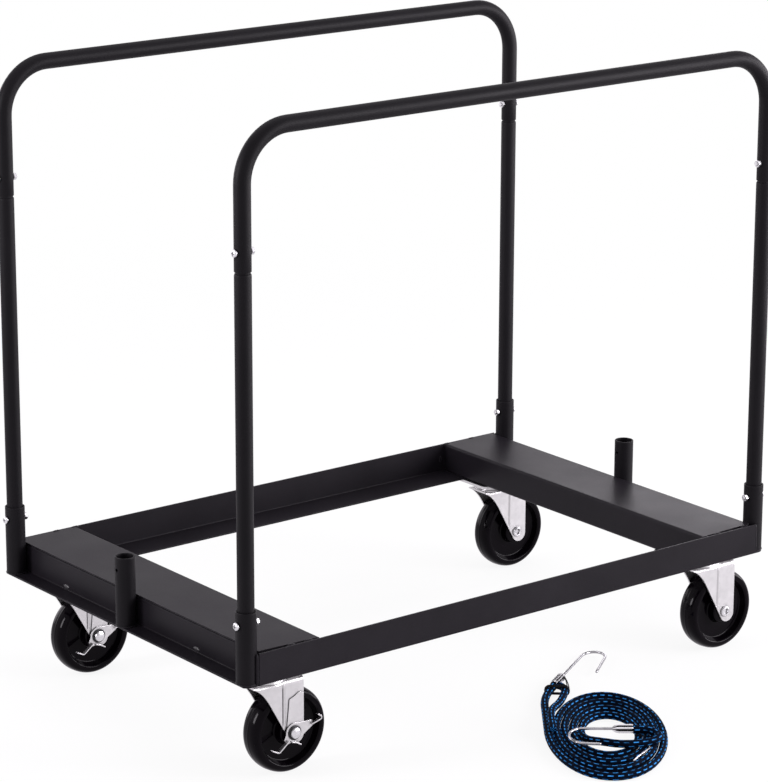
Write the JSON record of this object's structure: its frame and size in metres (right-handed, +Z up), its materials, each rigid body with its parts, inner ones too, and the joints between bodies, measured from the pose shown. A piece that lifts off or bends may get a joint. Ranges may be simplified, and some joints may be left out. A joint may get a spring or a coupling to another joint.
{
  "type": "sheet goods cart",
  "caption": "Rolling cart for sheet goods: welded angle-iron frame on swivel casters, bolted side hoops, open stub sockets at the ends, and an elastic tie with hooks.",
  "frame": {"origin": "on the floor, under the middle of the box of the cart without its tie", "axes": "+X along the side rails to the end without brakes, +Y to the rear rail, +Z up"},
  "size_m": [1.0564, 0.9322, 0.9905],
  "materials": {
    "coat": "satin black powder coat",
    "tube": "satin black powder coat",
    "zinc": "bright zinc",
    "wheel": "gloss black",
    "steel": "bright wire",
    "cord": "woven, with flecks"
  },
  "bodies": {
    "cart_frame": {"side_rail_front": "coat", "side_rail_rear": "coat", "end_rail_left": "coat", "end_rail_right": "coat", "deck_plate_left": "coat", "deck_plate_right": "coat", "stub_socket_left": "coat", "stub_socket_right": "coat", "hoop_front": "tube", "hoop_rear": "tube", "socket_front_left": "coat", "leg_front_left": "tube", "socket_bolt_front_left": "zinc", "socket_nut_front_left": "zinc", "joint_bolt_front_left": "zinc", "joint_nut_front_left": "zinc", "caster_plate_front_left": "zinc", "socket_front_right": "coat", "leg_front_right": "tube", "socket_bolt_front_right": "zinc", "socket_nut_front_right": "zinc", "joint_bolt_front_right": "zinc", "joint_nut_front_right": "zinc", "caster_plate_front_right": "zinc", "socket_rear_left": "coat", "leg_rear_left": "tube", "socket_bolt_rear_left": "zinc", "socket_nut_rear_left": "zinc", "joint_bolt_rear_left": "zinc", "joint_nut_rear_left": "zinc", "caster_plate_rear_left": "zinc", "socket_rear_right": "coat", "leg_rear_right": "tube", "socket_bolt_rear_right": "zinc", "socket_nut_rear_right": "zinc", "joint_bolt_rear_right": "zinc", "joint_nut_rear_right": "zinc", "caster_plate_rear_right": "zinc"},
    "fork_front_left": {"caster_fork_front_left": "zinc", "caster_axle_front_left": "zinc", "caster_bush_front_left": "steel"},
    "wheel_front_left": {"caster_wheel_front_left": "wheel"},
    "fork_front_right": {"caster_fork_front_right": "zinc", "caster_axle_front_right": "zinc", "caster_bush_front_right": "steel"},
    "wheel_front_right": {"caster_wheel_front_right": "wheel"},
    "fork_rear_left": {"caster_fork_rear_left": "zinc", "caster_axle_rear_left": "zinc", "caster_bush_rear_left": "steel"},
    "wheel_rear_left": {"caster_wheel_rear_left": "wheel"},
    "fork_rear_right": {"caster_fork_rear_right": "zinc", "caster_axle_rear_right": "zinc", "caster_bush_rear_right": "steel"},
    "wheel_rear_right": {"caster_wheel_rear_right": "wheel"},
    "brake_front_left": {"brake_lever_front_left": "zinc"},
    "brake_rear_left": {"brake_lever_rear_left": "zinc"},
    "tie": {"tie_cord": "cord", "tie_hook_outer": "steel", "tie_hook_inner": "steel"}
  },
  "joints": [
    {"name": "caster_swivel_front_left", "type": "hinge", "parent": "cart_frame", "child": "fork_front_left", "pos_m": [-0.44185, -0.261, 0.155], "axis": [0, 0, 1], "continuous": true},
    {"name": "wheel_spin_front_left", "type": "hinge", "parent": "fork_front_left", "child": "wheel_front_left", "pos_m": [-0.40635, -0.261, 0.0665], "axis": [0, 1, 0], "continuous": true},
    {"name": "caster_swivel_front_right", "type": "hinge", "parent": "cart_frame", "child": "fork_front_right", "pos_m": [0.42615, -0.261, 0.155], "axis": [0, 0, 1], "continuous": true},
    {"name": "wheel_spin_front_right", "type": "hinge", "parent": "fork_front_right", "child": "wheel_front_right", "pos_m": [0.46165, -0.261, 0.0665], "axis": [0, 1, 0], "continuous": true},
    {"name": "caster_swivel_rear_left", "type": "hinge", "parent": "cart_frame", "child": "fork_rear_left", "pos_m": [-0.44185, 0.261, 0.155], "axis": [0, 0, 1], "continuous": true},
    {"name": "wheel_spin_rear_left", "type": "hinge", "parent": "fork_rear_left", "child": "wheel_rear_left", "pos_m": [-0.40635, 0.261, 0.0665], "axis": [0, 1, 0], "continuous": true},
    {"name": "caster_swivel_rear_right", "type": "hinge", "parent": "cart_frame", "child": "fork_rear_right", "pos_m": [0.42615, 0.261, 0.155], "axis": [0, 0, 1], "continuous": true},
    {"name": "wheel_spin_rear_right", "type": "hinge", "parent": "fork_rear_right", "child": "wheel_rear_right", "pos_m": [0.46165, 0.261, 0.0665], "axis": [0, 1, 0], "continuous": true},
    {"name": "brake_lever_front_left", "type": "hinge", "parent": "fork_front_left", "child": "brake_front_left", "pos_m": [-0.40635, -0.286, 0.0665], "axis": [0, 1, 0], "range_deg": [0, 25]},
    {"name": "brake_lever_rear_left", "type": "hinge", "parent": "fork_rear_left", "child": "brake_rear_left", "pos_m": [-0.40635, 0.236, 0.0665], "axis": [0, 1, 0], "range_deg": [0, 25]},
    {"name": "tie_lift", "type": "slide", "parent": "cart_frame", "child": "tie", "axis": [0, 0, 1], "range_m": [0, 0.1]}
  ]
}
